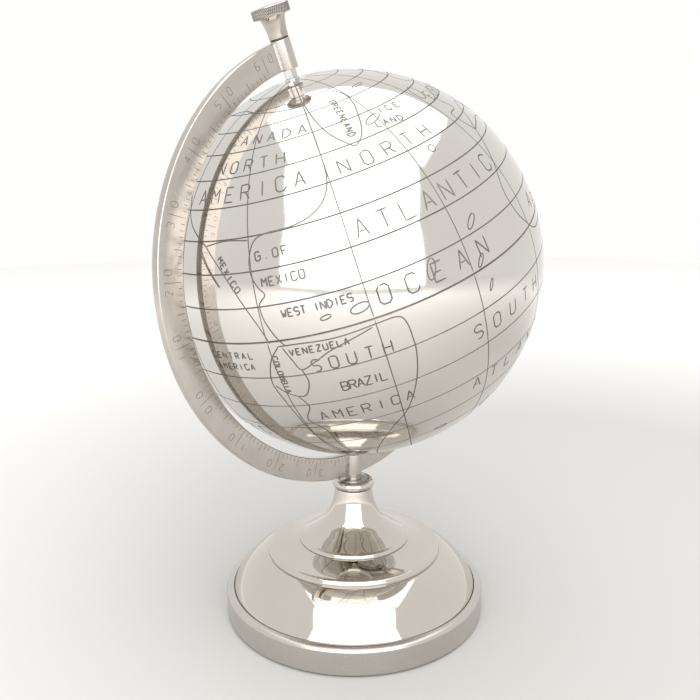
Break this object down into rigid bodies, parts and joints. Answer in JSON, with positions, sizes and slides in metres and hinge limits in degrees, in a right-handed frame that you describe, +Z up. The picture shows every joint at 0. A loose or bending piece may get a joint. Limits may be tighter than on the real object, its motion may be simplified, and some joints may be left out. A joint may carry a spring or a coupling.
{
  "type": "desktop globe",
  "caption": "Polished metal globe that spins on a tilted rod in a flat half-ring arm, on a stepped round base, with a thumb nut on top.",
  "frame": {"origin": "on the base's axis at the underside of the felt pad, where the stand rests", "axes": "+Z up; the arm lies in the XZ plane on the -X side and the north pole leans to -X; -Y is the arm's scale side"},
  "size_m": [0.2178, 0.2, 0.3204],
  "materials": {
    "globe_metal": "polished, engraved by hand",
    "globe_inner": "as spun",
    "arm_metal": "satin polished nickel plate",
    "base_metal": "mirror polished nickel plate",
    "thumb_metal": "nickel plate, knurled head",
    "nut_chrome": "bright plate",
    "zinc_steel": "zinc plate",
    "brass": "turned",
    "steel_plate": "black enamel",
    "cast_iron": "as cast",
    "felt": "black wool felt"
  },
  "bodies": {
    "stand": {"felt_pad": "felt", "bottom_plate": "steel_plate", "base_weight": "cast_iron", "base_band": "base_metal", "base_dome": "base_metal", "middle_tier": "base_metal", "neck": "base_metal", "collar_ring": "base_metal", "seat_spacer": "base_metal", "tie_rod": "zinc_steel", "tie_washer": "zinc_steel", "tie_nut": "zinc_steel", "meridian_arm": "arm_metal", "axle_rod": "zinc_steel", "north_lock_nut": "nut_chrome", "south_lock_nut": "nut_chrome"},
    "globe": {"north_shell": "globe_metal", "south_shell": "globe_metal", "seam_sleeve": "globe_inner", "north_bush": "brass", "south_bush": "brass", "north_bush_nut": "brass", "south_bush_nut": "brass"},
    "thumb_washer": {"thumb_washer": "nut_chrome"},
    "thumb_nut": {"thumb_nut": "thumb_metal"}
  },
  "joints": [
    {"name": "globe_spin", "type": "hinge", "parent": "stand", "child": "globe", "pos_m": [0, 0, 0.195], "axis": [-0.3971, 0, 0.9178], "continuous": true},
    {"name": "thumb_travel", "type": "slide", "parent": "stand", "child": "thumb_washer", "axis": [-0.3971, 0, 0.9178], "range_m": [0, 0.008]},
    {"name": "thumb_turn", "type": "hinge", "parent": "thumb_washer", "child": "thumb_nut", "pos_m": [0, 0, 0.195], "axis": [-0.3971, 0, 0.9178], "range_deg": [0, 5760]}
  ],
  "couplings": [
    {"joint": "thumb_travel", "follows": "thumb_turn", "m_per_rad": 0.000079577}
  ]
}
